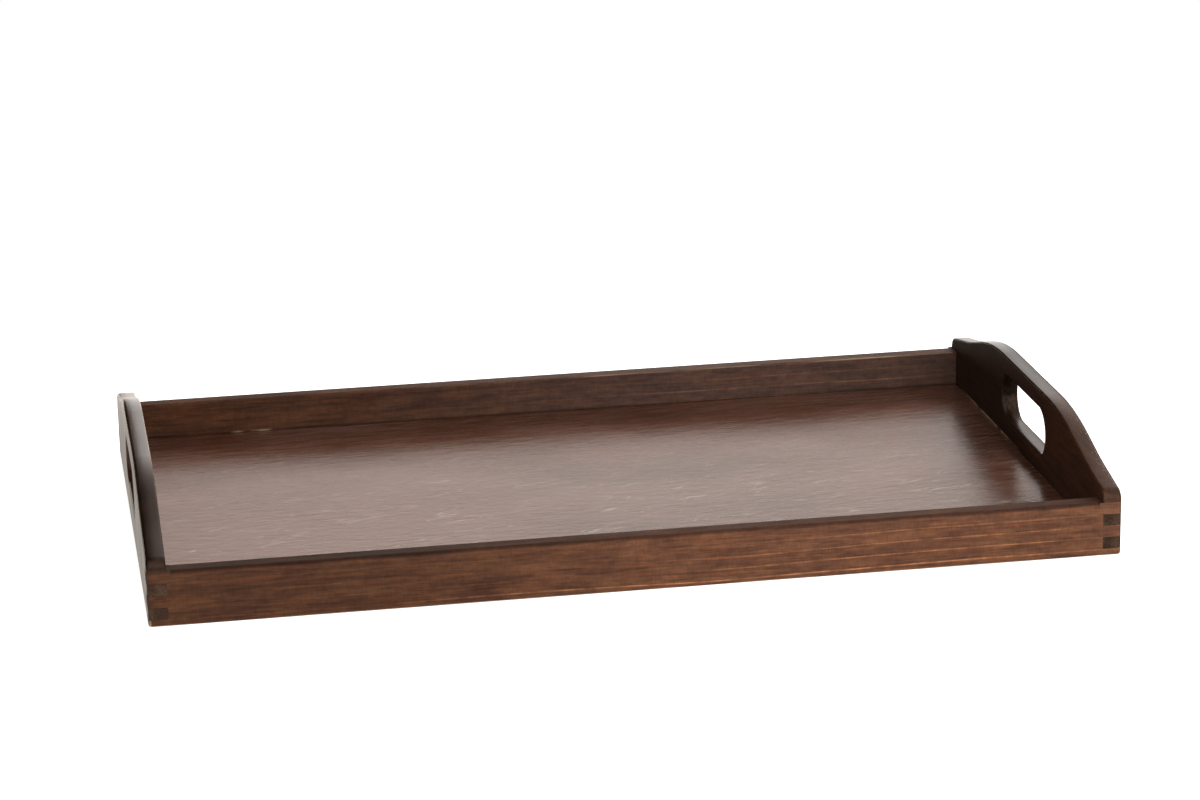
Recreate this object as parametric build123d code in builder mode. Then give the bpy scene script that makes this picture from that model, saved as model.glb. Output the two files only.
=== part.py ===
from build123d import *
from math import ceil, radians, tan
import os

# A serving tray of stained wood: two long rails, two arched end boards with hand holes, and a
# veneered plywood base held in a groove all the way round.  The boards meet in finger joints.
# Lengths are in millimetres.  +X runs along the tray, +Y across it and +Z is up.  The origin is
# the middle of the footprint, on the surface that the tray stands on.

# The tray as a whole
tray_length = 500.0
tray_width = 300.0
overrun = 20.0

# Rails, rounded along the top except for a short stretch beside each end board
rail_height = 28.5
rail_thickness = 11.0
rail_outer_round = 3.0
rail_inner_round = 1.0
rail_run_out = 2.0

# End boards: a flat crest, a flank that falls to the shoulder, a gentler run to the corner.
# The corner rises above the rails, and the shoulder is a share of the way from there to the crest.
end_thickness = 10.0
crest_height = 55.0
corner_rise = 5.6
shoulder_rise_share = 0.34
crest_half_share = 0.44
shoulder_share = 0.763
crest_curve_share = 0.48
shoulder_curve_share = 0.24
nose_curve_share = 0.95

# Hand holes, between the wood left over them for the grip and the sill left under them
hole_length = 85.0
grip_height = 11.0
sill_height = 18.5
hole_round = 2.0

# Finger joints, laid out from the top of the rails down
finger_height = 6.2
glue_line = 0.1
least_finger_share = 0.25

# Roundings of the glued-up frame: its outside, the end boards' inner arris and the foot
board_round = 2.0
inner_round = 1.0
foot_round = 1.0
round_limit_share = 0.45

# Base panel, and a groove that stops short of the outer faces
panel_thickness = 3.6
panel_lift = 5.0
panel_end_clearance = 0.5
groove_depth = 5.0
groove_clearance = 0.2

# Places that follow from the sizes
inner_length = tray_length - 2 * end_thickness
inner_width = tray_width - 2 * rail_thickness
half_width = tray_width / 2
front_rail_middle = (rail_thickness - tray_width) / 2
groove_length = inner_length + 2 * groove_depth
groove_width = inner_width + 2 * groove_depth
on_the_floor = (Align.CENTER, Align.CENTER, Align.MIN)


def finger_bands():
    """The bottom and top of each finger from the rails' top down; the lowest takes what is left."""
    count = max(2, ceil(rail_height / finger_height - least_finger_share))
    tops = [rail_height - i * finger_height for i in range(count)]
    return list(zip(tops[1:] + [0], tops))


def limited(radius, wall):
    """A rounding's radius, held to a share of the wall that it is cut in."""
    return min(radius, round_limit_share * wall)


def bend_radius(before, corner, after, curve_share):
    """The radius of a bend that takes up a share of the shorter run beside its corner."""
    run_in = Vector(corner) - Vector(before)
    run_out = Vector(after) - Vector(corner)
    turn = radians(run_in.get_angle(run_out))
    return curve_share * min(run_in.length, run_out.length) / tan(turn / 2)


def cut_corner_slots(bands):
    """Cuts room for the neighbours' fingers at the corners of the board being made."""
    for bottom, top in bands:
        floor = bottom - glue_line / 2 if bottom else -overrun
        with BuildSketch(Plane.XY.offset(floor)) as corners:
            with GridLocations(tray_length, tray_width, 2, 2):
                Rectangle(2 * end_thickness, 2 * rail_thickness)
        extrude(corners.sketch, amount=top + glue_line / 2 - floor, mode=Mode.SUBTRACT)


def cut_panel_groove():
    """Cuts the base panel's groove into the board being made."""
    with BuildSketch(Plane.XY.offset(panel_lift)) as groove:
        Rectangle(groove_length, groove_width)
    extrude(groove.sketch, amount=panel_thickness + groove_clearance, mode=Mode.SUBTRACT)


rail_fingers = finger_bands()[0::2]
end_fingers = finger_bands()[1::2]
lowest_finger = finger_bands()[-1][1]
outer_round = limited(board_round, min(rail_thickness, end_thickness))
bottom_round = limited(foot_round, min(lowest_finger, rail_thickness, end_thickness))

# Front rail, with where each top arris lies, the way inward from it and its radius
top_arrises = [
    (-half_width, 1, limited(rail_outer_round, rail_thickness)),
    (rail_thickness - half_width, -1, limited(rail_inner_round, rail_thickness)),
]
with BuildPart() as front_rail:
    with Locations((0, front_rail_middle, 0)):
        Box(tray_length, rail_thickness, rail_height, align=on_the_floor)
    fillet(edges().filter_by(Axis.Z).group_by(Axis.Y)[0], outer_round)
    fillet(edges().group_by(Axis.Z)[0].sort_by(Axis.Y)[:-1], bottom_round)
    cut_corner_slots(end_fingers)
    cut_panel_groove()
    # What is planed off to round the top: a square over each arris, less a round of its radius
    with BuildSketch(Plane.YZ) as planed_off:
        for arris, inward, radius in top_arrises:
            with Locations((arris, rail_height)):
                Rectangle(2 * radius, 2 * radius)
            with Locations((arris + inward * radius, rail_height - radius)):
                Circle(radius, mode=Mode.SUBTRACT)
    extrude(amount=inner_length / 2 - rail_run_out, both=True, mode=Mode.SUBTRACT)
front_rail.part.label = "front_rail"

# Back rail, the front rail mirrored
with BuildPart() as back_rail:
    mirror(front_rail.part, about=Plane.XZ)
back_rail.part.label = "back_rail"

# Right end board, outlined from its crest to its foot and mirrored
corner_height = rail_height + corner_rise
shoulder_height = corner_height + shoulder_rise_share * (crest_height - corner_height)
hole_height = crest_height - grip_height - sill_height
crest_middle = (0, crest_height)
crest_corner = (crest_half_share * half_width, crest_height)
shoulder = (shoulder_share * half_width, shoulder_height)
end_corner = (half_width, corner_height)
rail_top_corner = (half_width, rail_height)
half_outline = [crest_corner, shoulder, end_corner, (half_width, 0)]
half_bends = [
    bend_radius(crest_middle, crest_corner, shoulder, crest_curve_share),
    bend_radius(crest_corner, shoulder, end_corner, shoulder_curve_share),
    bend_radius(shoulder, end_corner, rail_top_corner, nose_curve_share),
    0,
]
other_half = [(-y, z) for y, z in reversed(half_outline)]
with BuildPart() as right_end:
    with BuildSketch(Plane.YZ.offset(inner_length / 2)):
        with BuildLine():
            FilletPolyline(half_outline + other_half, radius=half_bends + half_bends[::-1], close=True)
        make_face()
        with Locations((0, sill_height + hole_height / 2)):
            SlotOverall(hole_length, hole_height, mode=Mode.SUBTRACT)
    extrude(amount=end_thickness)
    inner_face, outer_face = faces().sort_by(Axis.X)[0], faces().sort_by(Axis.X)[-1]
    hole_edges = inner_face.inner_wires()[0].edges() + outer_face.inner_wires()[0].edges()
    fillet(hole_edges, limited(hole_round, end_thickness))
    outer_face = faces().sort_by(Axis.X)[-1]
    fillet(outer_face.outer_wire().edges().sort_by(Axis.Z)[1:], outer_round)
    fillet(edges().group_by(Axis.Z)[0].sort_by(Axis.X)[1:], bottom_round)
    cut_corner_slots(rail_fingers)
    inner_face = faces().sort_by(Axis.X)[0]
    above_rails = inner_face.outer_wire().edges().filter_by(
        lambda edge: edge.center().Z > rail_height + glue_line
    )
    fillet(above_rails, limited(inner_round, end_thickness))
    cut_panel_groove()
right_end.part.label = "right_end"

# Left end board, the right one mirrored
with BuildPart() as left_end:
    mirror(right_end.part, about=Plane.YZ)
left_end.part.label = "left_end"

# Base panel, which lies on the lower side of the groove
with BuildPart() as base_panel:
    with BuildSketch(Plane.XY.offset(panel_lift)):
        Rectangle(groove_length - 2 * panel_end_clearance, groove_width - 2 * panel_end_clearance)
    extrude(amount=panel_thickness)
base_panel.part.label = "base_panel"

os.makedirs("parts", exist_ok=True)
for piece in (front_rail, back_rail, left_end, right_end, base_panel):
    export_step(piece.part, f"parts/{piece.part.label}.step")
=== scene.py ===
import math
from collections import namedtuple

import bpy
from bpy.props import FloatProperty, FloatVectorProperty, PointerProperty
from bpy.types import Operator, Panel, PropertyGroup
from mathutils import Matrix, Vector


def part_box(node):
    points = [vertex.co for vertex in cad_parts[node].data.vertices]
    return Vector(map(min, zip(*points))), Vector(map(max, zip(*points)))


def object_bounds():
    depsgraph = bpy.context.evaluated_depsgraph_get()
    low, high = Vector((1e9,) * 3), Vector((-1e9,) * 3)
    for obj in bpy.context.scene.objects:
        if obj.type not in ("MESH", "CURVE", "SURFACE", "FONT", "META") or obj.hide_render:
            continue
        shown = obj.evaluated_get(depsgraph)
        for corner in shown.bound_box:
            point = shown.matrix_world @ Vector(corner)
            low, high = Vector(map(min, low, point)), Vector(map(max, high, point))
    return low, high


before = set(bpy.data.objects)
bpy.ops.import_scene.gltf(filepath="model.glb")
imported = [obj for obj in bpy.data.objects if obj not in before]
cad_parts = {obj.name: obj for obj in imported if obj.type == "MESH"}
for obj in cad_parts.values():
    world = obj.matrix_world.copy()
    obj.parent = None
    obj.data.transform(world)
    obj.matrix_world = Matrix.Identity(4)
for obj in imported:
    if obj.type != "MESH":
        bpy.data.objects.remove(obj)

bl_info = {
    "name": "Finger-Jointed Serving Tray",
    "version": (1, 0, 0),
    "blender": (4, 5, 0),
    "location": "View3D > Sidebar > Tray",
    "description": "Finishes a stained wooden serving tray and sets up its studio",
    "category": "Object",
}

CAD_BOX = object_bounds()
LENGTH_AXIS, WIDTH_AXIS = "X", "Y"

# The end boards: their thickness and height, the radius of their crowned top, and the middle part
# that holds the hand hole, as half its length and the least wood over it, in metres
END_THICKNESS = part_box("right_end")[1][0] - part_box("right_end")[0][0]
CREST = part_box("right_end")[1][2]
CROWN_RADIUS = 0.019
HOLE_REACH = 0.05
GRIP_HEIGHT = 0.008
HOLE_TOP = CREST - GRIP_HEIGHT

# The height of the rails, and how far over it the end grain's colour fades out, in metres
RAIL_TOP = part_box("front_rail")[1][2]
FINGER_FADE = 0.002

# The base panel's top, the painted shade in the corner above it and the bared lip there, in metres
PANEL_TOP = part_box("base_panel")[1][2]
CORNER_WIDTH = 0.002
LIP_WIDTH = 0.001
LIP_HEIGHT = PANEL_TOP + 0.7 * LIP_WIDTH

# The growth lines: how steeply their sheets rise towards the inside, and in metres how far they
# are warped, where the lowest comes out along the board, how much further along the ones above it
# do, and where all of them fade at the joint
LINE_RISE = 0.35
LINE_WARP = 0.005
LINE_START = (-0.14, 0.0)
LINE_DELAY = 0.13
LINE_FADE = (0.19, 0.235)

# Where a board goes over from its dark end to its pale one, as shares of half the tray
PALE_SHARES = (-0.8, 0.45)

# How strongly the patterns show in the colour of the boards and of the base panel
RED_STREAK_SHARE = 0.55
LINE_APPROACH_SHARE = 0.18
LINE_SHARE = 0.46
PANEL_RED_SHARE = 0.2
PANEL_NEAR_LEFT_SHARE = 0.6
PANEL_FLECK_SHARE = 0.42

# How far the relief stands up in the lacquer, in metres
BOARD_WAVES = 0.0004
BOARD_FIBRES = 0.00005
LACQUER_RUNS = 0.002
PANEL_WAVES = 0.0001
PANEL_GRAIN = 0.00007
PANEL_STREAKS = 0.0002
PANEL_FLECKS = 0.00003

# The width of the camera's frame, in millimetres
FRAME_WIDTH = 36

# The lamps' size and places, in metres
LAMP_SIZE = 1.2
BACK_LAMP = (1.6, 2.5, 1.15)
FRONT_LAMP = (0.5, -2.2, 0.75)

# The floor's own glow to the camera
WHITE = (1.0, 1.0, 1.0)
FLOOR_GLOW = 0.85

# What the polish mirrors in the floor's place: its colour, its brightness in front of the tray and
# behind it, and from where to where it changes.  On the right, except behind the tray, only a share
# of that is left, and the two last pairs say from where to where.  All places are in metres.
MIRRORED_COLOUR = (1.0, 0.92, 0.83)
MIRRORED_LIGHT = (0.72, 1.9)
MIRRORED_BEHIND = (0.15, 0.45)
MIRRORED_RIGHT = 0.15
MIRRORED_RIGHT_X = (0.0, 0.25)
MIRRORED_RIGHT_Y = (0.2, 0.33)

# The room's colour, and its brightness behind the camera and under the horizon.  Then its
# ceiling: the brightness at the horizon and overhead, how far up it is brightest, the bearings
# between which it lights up from left to right, and how bright it is to the left of them.
ROOM_COLOUR = (1.0, 1.0, 0.98)
CAMERA_SIDE_LIGHT = 1.5
BELOW_HORIZON = 0.3
CEILING_LIGHT = (0.35, 1.9)
CEILING_FULL = math.radians(45)
CEILING_EDGE = (math.radians(-14), math.radians(16))
CEILING_LEFT = 0.08

# The window: how softly its sides and its sill end, how far up it stays brightest, the bearings
# between which it dims and how bright it is past them, and how far down its backdrop reaches
WINDOW_SOFTNESS = math.radians(3)
WINDOW_FADE = math.radians(6)
WINDOW_BRIGHTEST = math.radians(12)
WINDOW_DIMS = (math.radians(12), math.radians(24))
WINDOW_FAR_SIDE = 0.4
BACKDROP_REACH = math.radians(40)

# How one board differs from the next.  The grain runs along one axis of the tray, and the seed
# picks the place in the wood.  The growth lines lean as they run along, and the first is at
# line_height.  low_end and high_end say how much of the stain's colour shows at the board's two
# ends, and on the front rail the rise to its right end is partly painted light from the right.  top
# says how much colour is left on top, where the darkening is painted shade.  The rest are shares:
# how clear the growth lines are, how far the upper arrises and the foot are worn bare and carry
# painted highlights, how much grey haze lies on the lacquer, partly scratches and partly painted
# sheen, how crowned and glossy the top is.  lip is where the wood is bare just above the base
# panel, or None: the middle of the stretch and its reach either way, in metres, and how bare it is.
BaredLip = namedtuple("BaredLip", "middle reach share")
BoardLook = namedtuple(
    "BoardLook",
    "grain_axis seed lean line_height low_end high_end top lines wear foot_wear haze polish lip",
)
BOARD_LOOKS = {
    "front_rail": BoardLook(
        grain_axis=LENGTH_AXIS, seed=3.1, lean=0.0, line_height=0.003,
        low_end=0.48, high_end=0.88, top=0.42, lines=1.0,
        wear=0.1, foot_wear=0.8, haze=0.008, polish=0.0, lip=None,
    ),
    "back_rail": BoardLook(
        grain_axis=LENGTH_AXIS, seed=7.7, lean=-0.004, line_height=-0.0014,
        low_end=0.42, high_end=0.42, top=0.9, lines=0.45,
        wear=0.7, foot_wear=0.2, haze=0.06, polish=0.0, lip=BaredLip(-0.175, 0.013, 0.5),
    ),
    "left_end": BoardLook(
        grain_axis=WIDTH_AXIS, seed=12.3, lean=0.01, line_height=0.0,
        low_end=0.1, high_end=0.28, top=0.9, lines=0.0,
        wear=0.9, foot_wear=0.2, haze=0.0, polish=1.0, lip=None,
    ),
    "right_end": BoardLook(
        grain_axis=WIDTH_AXIS, seed=17.9, lean=-0.01, line_height=0.0,
        low_end=0.42, high_end=0.13, top=0.8, lines=0.0,
        wear=0.0, foot_wear=0.1, haze=0.0, polish=1.0, lip=BaredLip(0.065, 0.065, 1.0),
    ),
}


class BoardFinish(PropertyGroup):
    """Stained softwood of the two rails and the two end boards."""

    deep_stain: FloatVectorProperty(
        name="Deep stain", description="Colour where the wood takes the stain fully",
        default=(0.125, 0.05, 0.03), subtype="COLOR", min=0, max=1,
    )
    light_stain: FloatVectorProperty(
        name="Light stain", description="Colour of the harder wood between the dark streaks",
        default=(0.237, 0.1, 0.049), subtype="COLOR", min=0, max=1,
    )
    red_streak: FloatVectorProperty(
        name="Red streak", description="Colour of the resinous streaks that turn red",
        default=(0.25, 0.07, 0.028), subtype="COLOR", min=0, max=1,
    )
    latewood: FloatVectorProperty(
        name="Latewood", description="Colour of the hard growth lines that resist the stain",
        default=(0.66, 0.29, 0.12), subtype="COLOR", min=0, max=1,
    )
    end_grain: FloatVectorProperty(
        name="End grain", description="Colour of the fingers' ends, which soak up the stain",
        default=(0.05, 0.027, 0.017), subtype="COLOR", min=0, max=1,
    )
    # Laid over the colour, the haze also stands in as painted sheen
    haze: FloatVectorProperty(
        name="Haze", description="Colour of the haze of fine scratches on the lacquer",
        default=(0.4, 0.4, 0.42), subtype="COLOR", min=0, max=1,
    )
    # This colour also paints highlight lines along the arrises
    worn_edge_and_highlight: FloatVectorProperty(
        name="Worn edge", description="Colour where sanding has thinned the stain on an arris",
        default=(0.55, 0.38, 0.24), subtype="COLOR", min=0, max=1,
    )
    sheen_tint: FloatVectorProperty(
        name="Sheen tint", description="Colour that the lacquer's sheen takes from the stain",
        default=(1.0, 0.72, 0.6), subtype="COLOR", min=0, max=1,
    )
    line_spacing: FloatProperty(
        name="Line spacing", description="Distance between two growth lines",
        default=0.0063, unit="LENGTH", min=0.001, max=0.02,
    )
    line_width: FloatProperty(
        name="Line width", description="Thickness of a growth line's hard part",
        default=0.0008, unit="LENGTH", min=0.0001, max=0.005,
    )
    roughness: FloatProperty(
        name="Roughness", description="Roughness of the satin lacquer",
        default=0.68, subtype="FACTOR", min=0, max=1,
    )
    polished_roughness: FloatProperty(
        name="Polished roughness", description="Roughness of the lacquer where hands have polished it",
        default=0.25, subtype="FACTOR", min=0, max=1,
    )


class VeneerFinish(PropertyGroup):
    """Stained face veneer of the base panel."""

    dark: FloatVectorProperty(
        name="Dark", description="Colour of the veneer's dark grain",
        default=(0.07, 0.02, 0.008), subtype="COLOR", min=0, max=1,
    )
    light: FloatVectorProperty(
        name="Light", description="Colour of the veneer's light grain",
        default=(0.158, 0.081, 0.06), subtype="COLOR", min=0, max=1,
    )
    red: FloatVectorProperty(
        name="Red", description="Colour of the veneer's reddish clouds",
        default=(0.175, 0.068, 0.043), subtype="COLOR", min=0, max=1,
    )
    fleck: FloatVectorProperty(
        name="Fleck", description="Colour of the wavy flecks in the figure",
        default=(0.5, 0.42, 0.33), subtype="COLOR", min=0, max=1,
    )
    sheen_tint: FloatVectorProperty(
        name="Sheen tint", description="Colour that the lacquer's sheen takes from the stain",
        default=(1.0, 0.6, 0.4), subtype="COLOR", min=0, max=1,
    )
    roughness: FloatProperty(
        name="Roughness", description="Roughness of the semi-gloss lacquer",
        default=0.21, subtype="FACTOR", min=0, max=1,
    )


class Studio(PropertyGroup):
    """Floor, window, room, lamps and camera."""

    floor_colour: FloatVectorProperty(
        name="Floor", description="Colour of the pale floor",
        default=(0.86, 0.86, 0.86), subtype="COLOR", min=0, max=1,
    )
    floor_reach: FloatProperty(
        name="Floor reach", description="Half of the floor's width",
        default=0.65, unit="LENGTH", min=0.3, max=50,
    )
    window_light: FloatProperty(
        name="Window light", description="Strength of the light from the window",
        default=1.42, min=0, max=5,
    )
    window_sides: FloatVectorProperty(
        name="Window sides", description="Bearings of the window's sides, from +Y towards +X",
        default=(math.radians(0), math.radians(50)), size=2, unit="ROTATION",
    )
    window_height: FloatVectorProperty(
        name="Window height", description="Elevations of the window's sill and head",
        default=(math.radians(8), math.radians(42)), size=2, unit="ROTATION",
    )
    backdrop_edge: FloatProperty(
        name="Backdrop edge", description="Bearing where the backdrop under the window ends",
        default=math.radians(20), unit="ROTATION",
    )
    room_light: FloatProperty(
        name="Room light", description="Strength of the light from the room's walls and ceiling",
        default=0.3, min=0, max=5,
    )
    back_power: FloatProperty(
        name="Back lamp", description="Power of the soft lamp beside the window, which lights the panel",
        default=150.0, unit="POWER", min=0, max=500,
    )
    front_power: FloatProperty(
        name="Front lamp", description="Power of the low soft lamp that lights the rails' faces",
        default=25.0, unit="POWER", min=0, max=500,
    )
    camera_place: FloatVectorProperty(
        name="Camera place", description="Where the camera stands",
        default=(-0.31194, -1.8795, 0.63145), subtype="XYZ", unit="LENGTH",
    )
    camera_turn: FloatVectorProperty(
        name="Camera turn", description="The camera's tilt, roll and heading",
        default=tuple(math.radians(angle) for angle in (73.1995, 1.0326, -9.8479)), subtype="EULER",
    )
    lens: FloatProperty(
        name="Lens", description=f"Focal length in millimetres on a {FRAME_WIDTH} mm wide frame",
        default=110.6, min=20, max=300,
    )


class Shading:
    """A node tree that is written as sums: each method adds a node and returns what it gives out."""

    def __init__(self, tree):
        self.tree = tree
        tree.nodes.clear()

    def node(self, kind, inputs=(), **settings):
        node = self.tree.nodes.new("ShaderNode" + kind)
        for name, value in settings.items():
            setattr(node, name, value)
        for socket, value in dict(inputs).items():
            if isinstance(value, bpy.types.NodeSocket):
                self.tree.links.new(value, node.inputs[socket])
            else:
                node.inputs[socket].default_value = value
        return node

    def math(self, operation, *values):
        return self.node("Math", dict(enumerate(values)), operation=operation).outputs[0]

    def add(self, *values):
        """The sum of two or more values."""
        total = values[0]
        for value in values[1:]:
            total = self.math("ADD", total, value)
        return total

    def times(self, *values):
        """The product of two or more values."""
        product = values[0]
        for value in values[1:]:
            product = self.math("MULTIPLY", product, value)
        return product

    def ramp(self, value, low, high, start=0.0, end=1.0, kind="SMOOTHSTEP"):
        """The value's way from low to high, spread from start to end, and eased unless LINEAR."""
        sockets = {"Value": value, "From Min": low, "From Max": high, "To Min": start, "To Max": end}
        return self.node("MapRange", sockets, interpolation_type=kind).outputs[0]

    def fade(self, value, low, high, end=0.0):
        """The value's way from low to high, eased and spread from 1 down to end."""
        return self.ramp(value, low, high, 1.0, end)

    def mix(self, share, first, second):
        """The first colour with a share of the second laid over it."""
        # Sockets 6 and 7 are the node's two colours, and its output 2 is the mixed one
        node = self.node("Mix", {0: share, 6: rgba(first), 7: rgba(second)}, data_type="RGBA")
        return node.outputs[2]

    def dimmed(self, colour, *shares):
        """The colour multiplied by each share."""
        for share in shares:
            sockets = {"Vector": colour, "Scale": share}
            colour = self.node("VectorMath", sockets, operation="SCALE").outputs[0]
        return colour

    def flicker(self, noise, spread):
        """A share that goes evenly from 1 - spread to 1 + spread over most of a noise's range."""
        return self.ramp(noise, 0.3, 0.7, 1.0 - spread, 1.0 + spread, kind="LINEAR")

    def size(self, value):
        """The value without its sign."""
        return self.math("ABSOLUTE", value)

    def largest(self, first, second):
        return self.math("MAXIMUM", first, second)

    def noise(self, vector, scale=1.0, detail=2.0, roughness=0.5):
        sockets = {"Vector": vector, "Scale": scale, "Detail": detail, "Roughness": roughness}
        return self.node("TexNoise", sockets).outputs["Fac"]

    def pattern(self, place, along, across, **settings):
        """Noise that changes so many times in a metre along the tray and across it."""
        return self.noise(self.scaled(place, (along, across, 0.0)), **settings)

    def vector(self, x, y, z=0.0):
        return self.node("CombineXYZ", {0: x, 1: y, 2: z}).outputs[0]

    def scaled(self, vector, scales):
        return self.node("VectorMath", {0: vector, 1: scales}, operation="MULTIPLY").outputs[0]

    def moved(self, vector, offset):
        return self.node("VectorMath", {0: vector, 1: offset}, operation="ADD").outputs[0]

    def axes(self, socket):
        return self.node("SeparateXYZ", {0: socket}).outputs

    def bump(self, height, distance, normal=None, strength=1.0):
        """A normal bent by a height, on top of the bends that a normal already has."""
        sockets = {"Height": height, "Distance": distance, "Strength": strength}
        if normal is not None:
            sockets["Normal"] = normal
        return self.node("Bump", sockets).outputs[0]


def rgba(colour):
    """A socket as it is, or a plain colour with its alpha."""
    return colour if isinstance(colour, bpy.types.NodeSocket) else (*colour, 1.0)


def new_material(name):
    """A material with an empty node tree, and the tree's Shading."""
    material = bpy.data.materials.new(name)
    material.use_nodes = True
    return material, Shading(material.node_tree)


def finish_surface(shading, colour, roughness, normal, **constants):
    """Closes a material with a Principled shader; constants are set on the shader's own sockets."""
    sockets = {"Base Color": colour, "Roughness": roughness, "Normal": normal}
    sockets.update({name.replace("_", " "): value for name, value in constants.items()})
    shader = shading.node("BsdfPrincipled", sockets)
    shading.node("OutputMaterial", {"Surface": shader.outputs[0]})


class Board:
    """The wood of one board: directions and places in it, as sockets.

    along runs with the grain, across up the board and through from face to face.  inset is the
    distance in from the tray's outer face, and place is a point in the noise of this board.  pale
    goes from 0 at the board's low end to 1 towards its high one.
    """

    def __init__(self, shading, look):
        self.shading, self.look = shading, look
        # Which of the tray's three axes run along the board, up it and through it
        order = (0, 2, 1) if look.grain_axis == LENGTH_AXIS else (1, 2, 0)
        highest = CAD_BOX[1]
        half_length, outer = highest[order[0]], highest[order[2]]
        position = shading.axes(shading.node("TexCoord").outputs["Object"])
        normal = shading.axes(shading.node("NewGeometry").outputs["Normal"])
        self.along, self.across, self.through = [position[i] for i in order]
        self.facing_along, self.facing_up = [normal[i] for i in order[:2]]
        self.facing_out = shading.times(normal[order[2]], shading.math("SIGN", self.through))
        self.inset = shading.math("SUBTRACT", outer, shading.size(self.through))
        here = shading.vector(self.along, self.across, self.through)
        self.place = shading.moved(here, (look.seed, 0.37 * look.seed, 0.71 * look.seed))
        self.pale = shading.ramp(self.along, *[share * half_length for share in PALE_SHARES])

    def drawn(self, length, width, **settings):
        """Noise whose blots are about so long with the grain and so wide across it."""
        shading = self.shading
        stretched = shading.scaled(self.place, (1 / length, 1 / width, 1 / width))
        return shading.noise(stretched, **settings)


def growth_lines(board, finish):
    """Shares of the hard growth lines and of the redder wood that leads up to each.

    The lines are level sheets through the board, leaning and warped a little.  Each breaks up by
    itself along the grain.  It comes out towards the board's pale end, the lower ones first, and
    fades at the joint there.
    """
    shading, look = board.shading, board.look
    warp = shading.add(board.drawn(length=0.14, width=0.05, detail=1.0), -0.5)
    height = shading.add(board.across, -look.line_height, shading.times(board.along, look.lean))
    height = shading.add(height, shading.times(board.inset, -LINE_RISE), shading.times(warp, LINE_WARP))

    # Each point belongs to the line with the nearest number, and lies so far above its middle
    turns = shading.add(shading.math("DIVIDE", height, finish.line_spacing), 0.5)
    number = shading.math("FLOOR", turns)
    above = shading.times(shading.add(shading.math("FRACT", turns), -0.5), finish.line_spacing)
    half = 0.5 * finish.line_width
    line = shading.fade(shading.size(above), 0.3 * half, 1.4 * half)
    approach = shading.ramp(above, -0.34 * finish.line_spacing, 0.0)
    approach = shading.times(approach, shading.fade(above, 0.0, half))

    # Each line is broken into long stretches, the lowest one least, and into dashes
    own_seed = shading.add(shading.times(number, 5.3), look.seed)
    stretch = shading.noise(shading.vector(shading.times(board.along, 11.0), own_seed), detail=1.0)
    stretch = shading.largest(shading.ramp(stretch, 0.3, 0.5), shading.ramp(number, 0.0, 1.0, 0.8, 0.0))
    dashes = shading.noise(shading.vector(shading.times(board.along, 95.0), own_seed, 3.0), detail=2.0)
    shown = shading.times(stretch, shading.ramp(dashes, 0.34, 0.6, start=0.25))

    delay = shading.times(shading.math("MINIMUM", number, 1.0), -LINE_DELAY)
    started = shading.ramp(shading.add(board.along, delay), *LINE_START, start=0.1)
    low_down = shading.fade(number, 2.0, 4.0, 0.25)
    low_down = shading.times(low_down, shading.ramp(number, 0.0, 1.0, start=1.4))
    clear = shading.times(shown, started, low_down, look.lines)
    clear = shading.times(clear, shading.fade(board.along, *LINE_FADE, 0.4))
    return shading.times(line, clear), shading.times(approach, shading.add(clear, 0.15))


def stain(board, finish):
    """The stained colour of the long grain, and the streaks and growth lines in it.

    The light stain shows through the deep one in streaks and blotches.  Some streaks turn red and
    some are darker, and the growth lines lie over them.  The colour shifts in strength along the
    board, on the front rail partly as painted light from the right, and is darkened on top as
    painted shade.  The lacquer's haze, partly painted sheen, lies over it all.
    """
    shading, look = board.shading, board.look
    streak = board.drawn(length=0.03, width=0.0016, detail=4.0, roughness=0.65)
    blotch = board.drawn(length=0.03, width=0.007, detail=3.0, roughness=0.55)
    share = shading.ramp(shading.add(streak, blotch), 0.74, 1.3)
    colour = shading.mix(share, finish.deep_stain, finish.light_stain)
    red = shading.ramp(board.drawn(length=0.03, width=0.0016, detail=2.0), 0.55, 0.72)
    colour = shading.mix(shading.times(red, RED_STREAK_SHARE), colour, finish.red_streak)
    dark = shading.fade(board.drawn(length=0.04, width=0.0022, detail=2.0), 0.56, 0.75, 0.66)
    # The stain's strength shifts along the board; on the front rail this is partly painted light from
    # the right
    depth_and_painted_light = shading.ramp(board.pale, 0.0, 1.0, look.low_end, look.high_end)
    colour = shading.dimmed(colour, dark, depth_and_painted_light)
    line, approach = growth_lines(board, finish)
    colour = shading.mix(shading.times(approach, LINE_APPROACH_SHARE), colour, finish.red_streak)
    colour = shading.mix(shading.times(line, LINE_SHARE), colour, finish.latewood)
    # Painted shade: the top faces are darkened down to look.top
    colour = shading.dimmed(colour, shading.fade(board.facing_up, 0.35, 0.8, look.top))
    # The haze is partly scratches in the lacquer and partly painted sheen
    return shading.mix(shading.times(board.pale, look.haze), colour, finish.haze), streak, line


def fine_grain(board, colour, fibre):
    """The colour flecked by the fibres, by short marks across them and by small clouds."""
    shading = board.shading
    marks = board.drawn(length=0.001, width=0.004, detail=1.0)
    clouds = board.drawn(length=0.005, width=0.0025, detail=2.0)
    return shading.dimmed(
        colour,
        shading.flicker(fibre, spread=0.14),
        shading.flicker(marks, spread=0.08),
        shading.flicker(clouds, spread=0.15),
    )


def painted_corner_shade(board):
    """Share of the colour left over the base panel, where a painted shade darkens the corner."""
    shading = board.shading
    above_corner = shading.ramp(board.across, PANEL_TOP, PANEL_TOP + CORNER_WIDTH, start=0.4)
    not_inside = shading.ramp(board.facing_out, -0.9, -0.5)
    return shading.largest(above_corner, not_inside)


def cut_end(board):
    """Share of the cut ends, which face along the grain and show in the fingers."""
    shading = board.shading
    facing = shading.ramp(shading.size(board.facing_along), 0.55, 0.9)
    return shading.times(facing, shading.fade(board.across, RAIL_TOP, RAIL_TOP + FINGER_FADE, 0.2))


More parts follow.
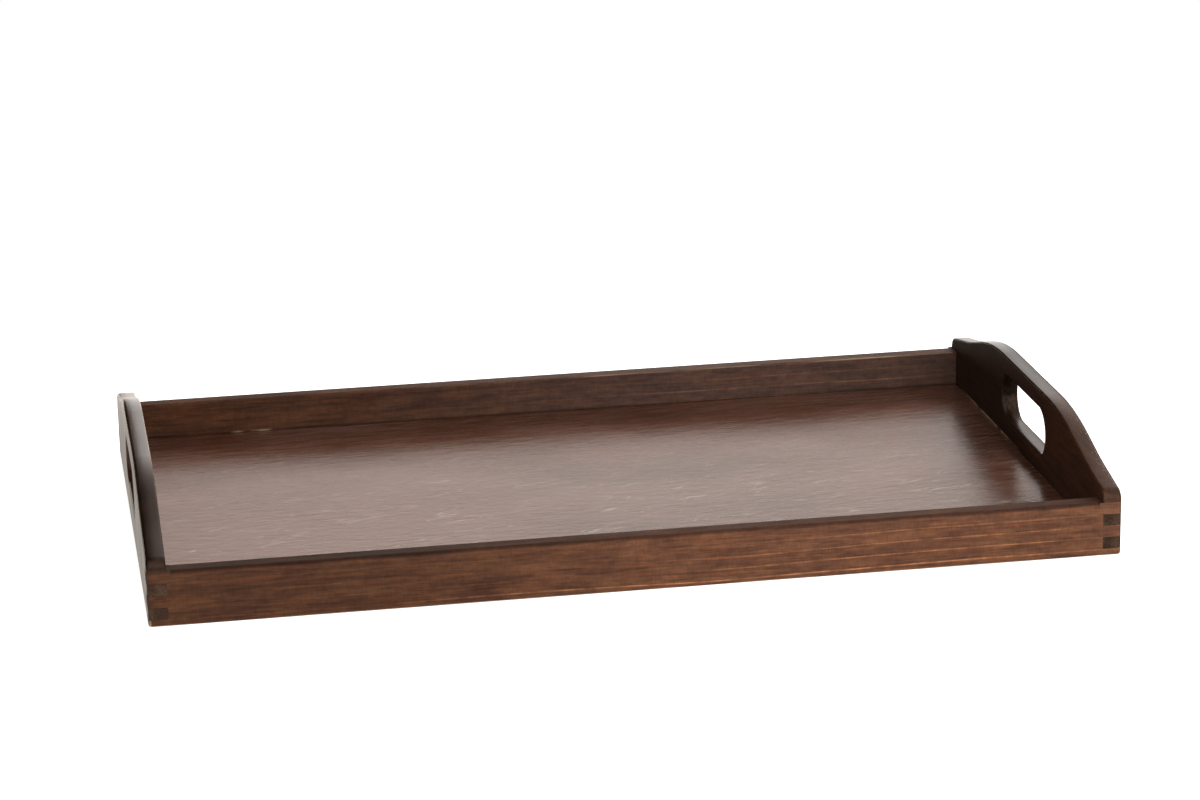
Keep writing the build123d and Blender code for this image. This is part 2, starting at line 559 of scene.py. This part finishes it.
def end_grain(board, finish):
    """The dark colour of the cut ends, with their pores, and unevenly soaked with stain."""
    shading = board.shading
    pores = shading.noise(shading.scaled(board.place, (200.0, 900.0, 900.0)), detail=2.0)
    soaked = shading.noise(board.place, scale=110.0, detail=1.0)
    pores = shading.ramp(pores, 0.3, 0.7, start=0.7, end=1.3)
    soaked = shading.ramp(soaked, 0.35, 0.65, start=0.75, end=1.45)
    return shading.dimmed(finish.end_grain, pores, soaked)


def stained_board(name, finish, look):
    """Stained softwood, with darker end grain, sanded arrises and polish where hands rub it.  The
    arrises also carry painted highlights.

    Only the end boards have polish: over their crowned top, their outer face and their hand
    hole's walls, with lumpy runs of lacquer at the hole's ends, where painted shade darkens the
    walls.
    """
    material, shading = new_material(name)
    board = Board(shading, look)
    colour, streak, line = stain(board, finish)
    fibre = board.drawn(length=0.012, width=0.0004, detail=2.0, roughness=0.6)
    colour = fine_grain(board, colour, fibre)
    # Painted shade darkens the inner faces just above the base panel
    colour = shading.dimmed(colour, painted_corner_shade(board))
    colour = shading.mix(cut_end(board), colour, end_grain(board, finish))
    # Light arrises: bare wood worn through the stain, and painted highlight lines along them
    colour = shading.mix(worn_and_highlit_arris(board), colour, finish.worn_edge_and_highlight)
    if look.lip:
        colour = shading.mix(bare_lip(board), colour, finish.worn_edge_and_highlight)

    outside = shading.ramp(board.facing_out, 0.3, 0.9)
    handled = shading.largest(shading.ramp(board.facing_up, 0.1, 0.5), outside)
    normal = shading.bump(board.drawn(length=0.06, width=0.02, detail=1.0), BOARD_WAVES)
    if look.polish:
        walls = hole_walls(board)
        hole_ends = shading.times(walls, shading.ramp(shading.size(board.facing_along), 0.4, 0.8))
        # Painted shade darkens the hole's end walls
        colour = shading.dimmed(colour, shading.fade(hole_ends, 0.0, 1.0, 0.5))
        handled = shading.largest(handled, walls)
        normal = crowned_top(board, normal)
        normal = lacquer_runs(board, normal, hole_ends)
    relief = shading.add(shading.times(fibre, 0.5), shading.times(streak, 0.7), shading.times(line, 0.5))
    normal = shading.bump(relief, BOARD_FIBRES, normal)

    gloss = shading.times(handled, look.polish)
    uneven = shading.times(shading.add(board.drawn(length=0.04, width=0.015), -0.5), 0.12)
    roughness = shading.ramp(gloss, 0.0, 1.0, finish.roughness, finish.polished_roughness)
    finish_surface(
        shading, colour, shading.add(roughness, uneven), normal,
        IOR=1.37 + 0.11 * look.polish, Specular_Tint=rgba(finish.sheen_tint),
    )
    return material


def worn_and_highlit_arris(board):
    """Share of the arrises, halfway between two faces and rubbed: bare wood and painted highlight."""
    shading, look = board.shading, board.look
    outwards = shading.largest(board.facing_out, 0.0)
    inwards = shading.largest(shading.times(board.facing_out, -1.0), 0.0)
    upwards = shading.largest(board.facing_up, 0.0)
    upper = shading.times(upwards, shading.ramp(board.pale, 0.0, 1.0, start=0.4), look.wear)
    downwards = shading.largest(shading.times(board.facing_up, -1.0), 0.0)
    lower = shading.times(downwards, look.foot_wear)
    low_down = shading.fade(board.across, 0.001, 0.01, 0.4)
    corner = shading.times(shading.size(board.facing_along), low_down, look.foot_wear)
    arris = shading.add(
        shading.times(inwards, upper), shading.times(outwards, shading.add(lower, corner))
    )
    rubbed = board.drawn(length=0.05, width=0.012, detail=3.0)
    return shading.times(shading.ramp(arris, 0.12, 0.5), shading.ramp(rubbed, 0.36, 0.62))


def crowned_top(board, normal):
    """Rounds the top over: its height falls with the square of the distance from its middle."""
    shading = board.shading
    off_middle = shading.math("SUBTRACT", board.inset, 0.5 * END_THICKNESS)
    drop = shading.times(off_middle, off_middle, -0.5 / CROWN_RADIUS)
    return shading.bump(drop, 1.0, normal, shading.ramp(board.facing_up, 0.2, 0.7))


def hole_walls(board):
    """Share of the hand hole's walls: they face neither in nor out, in the board's middle."""
    shading = board.shading
    sideways = shading.fade(shading.size(board.facing_out), 0.3, 0.6)
    middle = shading.fade(shading.size(board.along), HOLE_REACH, 1.2 * HOLE_REACH)
    return shading.times(sideways, middle, shading.fade(board.across, HOLE_TOP, CREST))


def lacquer_runs(board, normal, hole_ends):
    """Lumps in the lacquer that gathers at the hand hole's ends."""
    shading = board.shading
    lumps = shading.noise(board.place, scale=150.0, detail=1.0)
    return shading.bump(lumps, LACQUER_RUNS, normal, hole_ends)


def bare_lip(board):
    """Share of the bare wood on the groove's lip, a thin broken line just above the base panel."""
    shading, lip = board.shading, board.look.lip
    rise = shading.math("SUBTRACT", board.across, LIP_HEIGHT)
    thin = shading.fade(shading.size(rise), 0.4 * LIP_WIDTH, 0.6 * LIP_WIDTH)
    broken = shading.noise(shading.vector(shading.times(board.along, 60.0), board.look.seed), detail=2.0)
    off_middle = shading.size(shading.add(board.along, -lip.middle))
    bared = shading.fade(off_middle, 0.5 * lip.reach, lip.reach)
    inside = shading.ramp(board.facing_out, -0.5, -0.9)
    return shading.times(thin, shading.ramp(broken, 0.3, 0.6), bared, inside, lip.share)


def veneer_flecks(shading, x, y, place):
    """Share of the light wavy flecks: ridges of noise drawn out askew to the grain, in patches.

    They are densest towards the tray's front.
    """
    wander = shading.pattern(place, along=40.0, across=70.0, detail=2.0)
    slant = shading.add(y, shading.times(x, -0.27), shading.times(wander, 0.012))
    askew = shading.vector(shading.times(x, 24.0), shading.times(slant, 260.0))
    ridge = shading.size(shading.add(shading.noise(askew, detail=1.0), -0.5))
    fleck = shading.fade(ridge, 0.0, 0.03)
    patches = shading.pattern(place, along=30.0, across=75.0, detail=2.0)
    front = shading.ramp(y, 0.09, -0.05, start=0.15)
    return shading.times(fleck, shading.ramp(patches, 0.42, 0.7), front)


def stained_veneer(name, finish):
    """Stained veneer with its fine grain along the tray, reddish clouds and light wavy flecks.

    The streaks hardly show in the colour.  They stand up a little in the lacquer, so that its
    sheen breaks up along the grain.
    """
    material, shading = new_material(name)
    place = shading.node("TexCoord").outputs["Object"]
    x, y, z = shading.axes(place)

    bend = shading.pattern(place, along=5.0, across=14.0, detail=2.0)
    bent = shading.vector(x, shading.add(y, shading.times(x, -0.05), shading.times(bend, 0.012)), z)
    grain = shading.pattern(bent, along=28.0, across=350.0, detail=5.0, roughness=0.75)
    fibre = shading.pattern(bent, along=110.0, across=1500.0, detail=2.0)
    streaks = shading.pattern(bent, along=75.0, across=215.0, detail=3.0, roughness=0.65)
    cloud = shading.pattern(place, along=9.0, across=17.0, detail=2.0)
    tone = shading.add(shading.times(grain, 0.65), shading.times(streaks, 0.15))
    tone = shading.add(tone, shading.times(cloud, 0.55))
    colour = shading.mix(shading.ramp(tone, 0.48, 0.87), finish.dark, finish.light)

    elsewhere = shading.moved(shading.scaled(place, (7.0, 13.0, 0.0)), (4.0, 1.0, 0.0))
    red_clouds = shading.ramp(shading.noise(elsewhere, detail=2.0), 0.5, 0.68)
    near_left = shading.times(shading.ramp(x, 0.05, -0.2), shading.ramp(y, 0.08, -0.06))
    red_clouds = shading.times(red_clouds, PANEL_RED_SHARE)
    near_left = shading.times(near_left, PANEL_NEAR_LEFT_SHARE)
    colour = shading.mix(shading.add(red_clouds, near_left), colour, finish.red)

    fleck = veneer_flecks(shading, x, y, place)
    colour = shading.mix(shading.times(fleck, PANEL_FLECK_SHARE), colour, finish.fleck)
    colour = shading.dimmed(colour, shading.flicker(fibre, spread=0.12))

    roughness = shading.ramp(grain, 0.3, 0.7, finish.roughness - 0.02, finish.roughness + 0.03)
    normal = shading.bump(shading.pattern(place, along=9.0, across=20.0, detail=1.0), PANEL_WAVES)
    normal = shading.bump(grain, PANEL_GRAIN, normal)
    normal = shading.bump(streaks, PANEL_STREAKS, normal)
    normal = shading.bump(fleck, PANEL_FLECKS, normal)
    finish_surface(shading, colour, roughness, normal, IOR=1.45, Specular_Tint=rgba(finish.sheen_tint))
    return material


def dress(node, material):
    """Gives a CAD node the material in every slot, leaving its mesh as it is."""
    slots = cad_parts[node].data.materials
    if not slots:
        slots.append(material)
    for index in range(len(slots)):
        slots[index] = material


def dress_boards(context, *nodes):
    """Finishes boards, each with its own look."""
    for node in nodes:
        dress(node, stained_board(node + "_wood", context.scene.tray_boards, BOARD_LOOKS[node]))


class TRAY_OT_rails(Operator):
    """Finish the front and back rails as stained softwood"""

    bl_idname = "tray.rails"
    bl_label = "Rails"

    def execute(self, context):
        dress_boards(context, "front_rail", "back_rail")
        return {"FINISHED"}


class TRAY_OT_end_boards(Operator):
    """Finish the two arched end boards as stained softwood"""

    bl_idname = "tray.end_boards"
    bl_label = "End Boards"

    def execute(self, context):
        dress_boards(context, "left_end", "right_end")
        return {"FINISHED"}


class TRAY_OT_base_panel(Operator):
    """Finish the base panel as stained veneer"""

    bl_idname = "tray.base_panel"
    bl_label = "Base Panel"

    def execute(self, context):
        dress("base_panel", stained_veneer("base_panel_veneer", context.scene.tray_veneer))
        return {"FINISHED"}


def floor_paper(studio):
    """The floor's material: white to the camera wherever the tray doesn't shade it.

    The tray's polish mirrors a warm glow in its place, brighter behind the tray and dimmer in
    front of it on the right.
    """
    material, shading = new_material("floor_paper")
    diffuse = shading.node("BsdfDiffuse", {"Color": rgba(studio.floor_colour)}).outputs[0]
    glow = shading.node("Emission", {"Color": rgba(WHITE), "Strength": FLOOR_GLOW}).outputs[0]
    lit = shading.node("AddShader", {0: diffuse, 1: glow}).outputs[0]
    x, y, _ = shading.axes(shading.node("TexCoord").outputs["Object"])
    brightness = shading.ramp(y, *MIRRORED_BEHIND, *MIRRORED_LIGHT)
    right_side = shading.fade(x, *MIRRORED_RIGHT_X, MIRRORED_RIGHT)
    right_side = shading.largest(right_side, shading.ramp(y, *MIRRORED_RIGHT_Y))
    brightness = shading.times(brightness, right_side)
    warm = {"Color": rgba(MIRRORED_COLOUR), "Strength": brightness}
    mirrored = shading.node("Emission", warm).outputs[0]
    path = shading.node("LightPath").outputs
    seen = shading.largest(path["Is Camera Ray"], path["Is Transmission Ray"])
    surface = shading.node("MixShader", {0: seen, 1: diffuse, 2: lit}).outputs[0]
    surface = shading.node("MixShader", {0: path["Is Glossy Ray"], 1: surface, 2: mirrored}).outputs[0]
    shading.node("OutputMaterial", {"Surface": surface})
    return material


def studio_floor(studio):
    """A square floor that the tray stands on."""
    reach = studio.floor_reach
    corners = [(-reach, -reach, 0), (reach, -reach, 0), (reach, reach, 0), (-reach, reach, 0)]
    mesh = bpy.data.meshes.new("floor")
    mesh.from_pydata(corners, [], [(0, 1, 2, 3)])
    mesh.materials.append(floor_paper(studio))
    floor = bpy.data.objects.new("floor", mesh)
    bpy.context.scene.collection.objects.link(floor)


def window_brightness(shading, studio, bearing, elevation):
    """How bright the window is in a direction.

    Under its left part a white backdrop takes the light down to the floor, and beside that the
    window ends at its sill.  It falls off slowly upwards, and to its far side.
    """
    (west_side, east_side), (sill, head) = studio.window_sides, studio.window_height
    edge = studio.backdrop_edge
    left = shading.ramp(bearing, west_side - WINDOW_SOFTNESS, west_side + WINDOW_SOFTNESS)
    right = shading.fade(bearing, east_side - WINDOW_SOFTNESS, east_side + WINDOW_SOFTNESS)
    drop = shading.ramp(bearing, edge - WINDOW_SOFTNESS, edge + WINDOW_SOFTNESS, BACKDROP_REACH, 0.0)
    bottom = shading.ramp(shading.add(elevation, drop), sill, sill + WINDOW_FADE)
    top = shading.fade(elevation, WINDOW_BRIGHTEST, head)
    far_side = shading.fade(bearing, *WINDOW_DIMS, WINDOW_FAR_SIDE)
    return shading.times(left, right, bottom, top, far_side, studio.window_light)


def room_brightness(shading, studio, bearing, elevation, north):
    """How bright the room is in a direction.

    It is darkest under the horizon and lightens up to the ceiling, which is dark to the window's
    left, and behind the camera it is lighter.
    """
    ceiling = shading.ramp(elevation, 0.0, CEILING_FULL, *CEILING_LIGHT)
    lit_side = shading.ramp(bearing, *CEILING_EDGE, start=CEILING_LEFT)
    ceiling = shading.times(ceiling, shading.largest(lit_side, shading.ramp(north, 0.3, -0.3)))
    behind_camera = shading.times(shading.ramp(north, -0.2, -0.8), shading.ramp(elevation, 0.0, 0.3))
    behind_camera = shading.times(behind_camera, CAMERA_SIDE_LIGHT)
    room = shading.times(shading.add(ceiling, behind_camera), studio.room_light)
    return shading.times(room, shading.ramp(elevation, -0.1, 0.0, start=BELOW_HORIZON))


def studio_dome(studio):
    """A dim room with one wide window behind the tray, which its polish mirrors.

    A direction's bearing goes from +Y towards +X.  The camera sees plain white.
    """
    world = bpy.data.worlds.new("studio_dome")
    world.use_nodes = True
    bpy.context.scene.world = world
    shading = Shading(world.node_tree)
    east, north, up = shading.axes(shading.node("TexCoord").outputs["Generated"])
    bearing = shading.math("ARCTAN2", east, north)
    elevation = shading.math("ARCSINE", up)
    room = room_brightness(shading, studio, bearing, elevation, north)
    window = window_brightness(shading, studio, bearing, elevation)
    strength = shading.add(room, window)
    soft = shading.node("Background", {"Color": rgba(ROOM_COLOUR), "Strength": strength}).outputs[0]
    white = shading.node("Background", {"Color": rgba(WHITE), "Strength": 1.0}).outputs[0]
    path = shading.node("LightPath").outputs
    seen = shading.largest(path["Is Camera Ray"], path["Is Transmission Ray"])
    surface = shading.node("MixShader", {0: seen, 1: soft, 2: white}).outputs[0]
    shading.node("OutputWorld", {"Surface": surface})


def studio_lamp(name, place, power):
    """A square soft lamp at a place, turned to the tray, that the polish doesn't mirror."""
    light = bpy.data.lights.new(name, "AREA")
    light.shape = "SQUARE"
    light.size = LAMP_SIZE
    light.energy = power
    lamp = bpy.data.objects.new(name, light)
    bpy.context.scene.collection.objects.link(lamp)
    lamp.location = place
    # A lamp shines down its own -Z, so it is tilted off the vertical and then turned to the origin
    x, y, z = place
    tilt = math.atan2(math.hypot(x, y), z)
    heading = math.atan2(x, -y)
    lamp.rotation_euler = (tilt, 0, heading)
    lamp.visible_glossy = False


def studio_camera(studio):
    """The camera, at the photograph's viewing angle."""
    data = bpy.data.cameras.new("camera")
    data.sensor_fit = "HORIZONTAL"
    data.sensor_width = FRAME_WIDTH
    data.lens = studio.lens
    camera = bpy.data.objects.new("camera", data)
    camera.location = studio.camera_place
    camera.rotation_euler = studio.camera_turn
    bpy.context.scene.collection.objects.link(camera)
    bpy.context.scene.camera = camera


class TRAY_OT_stage(Operator):
    """Lay the floor and set up the studio's window, lamps and camera"""

    bl_idname = "tray.stage"
    bl_label = "Stage"

    def execute(self, context):
        studio = context.scene.tray_studio
        studio_floor(studio)
        studio_dome(studio)
        studio_lamp("back_lamp", BACK_LAMP, studio.back_power)
        studio_lamp("front_lamp", FRONT_LAMP, studio.front_power)
        studio_camera(studio)
        context.scene.view_settings.view_transform = "Standard"
        return {"FINISHED"}


class TRAY_PT_sidebar(Panel):
    """Sizes, colours and steps of the tray"""

    bl_idname = "TRAY_PT_sidebar"
    bl_label = "Serving Tray"
    bl_space_type = "VIEW_3D"
    bl_region_type = "UI"
    bl_category = "Tray"

    def draw(self, context):
        scene = context.scene
        for title, group, steps in (
            ("Boards", scene.tray_boards, (TRAY_OT_rails, TRAY_OT_end_boards)),
            ("Base panel", scene.tray_veneer, (TRAY_OT_base_panel,)),
            ("Studio", scene.tray_studio, (TRAY_OT_stage,)),
        ):
            box = self.layout.box()
            box.label(text=title)
            for name in group.__annotations__:
                box.prop(group, name)
            for step in steps:
                box.operator(step.bl_idname)


SETTINGS = {"tray_boards": BoardFinish, "tray_veneer": VeneerFinish, "tray_studio": Studio}
CLASSES = (
    BoardFinish, VeneerFinish, Studio,
    TRAY_OT_rails, TRAY_OT_end_boards, TRAY_OT_base_panel, TRAY_OT_stage, TRAY_PT_sidebar,
)


def register():
    for item in CLASSES:
        bpy.utils.register_class(item)
    for name, group in SETTINGS.items():
        setattr(bpy.types.Scene, name, PointerProperty(type=group))


def unregister():
    for name in SETTINGS:
        delattr(bpy.types.Scene, name)
    for item in reversed(CLASSES):
        bpy.utils.unregister_class(item)


def main():
    register()
    bpy.ops.tray.rails()
    bpy.ops.tray.end_boards()
    bpy.ops.tray.base_panel()
    bpy.ops.tray.stage()


if __name__ == "__main__":
    main()
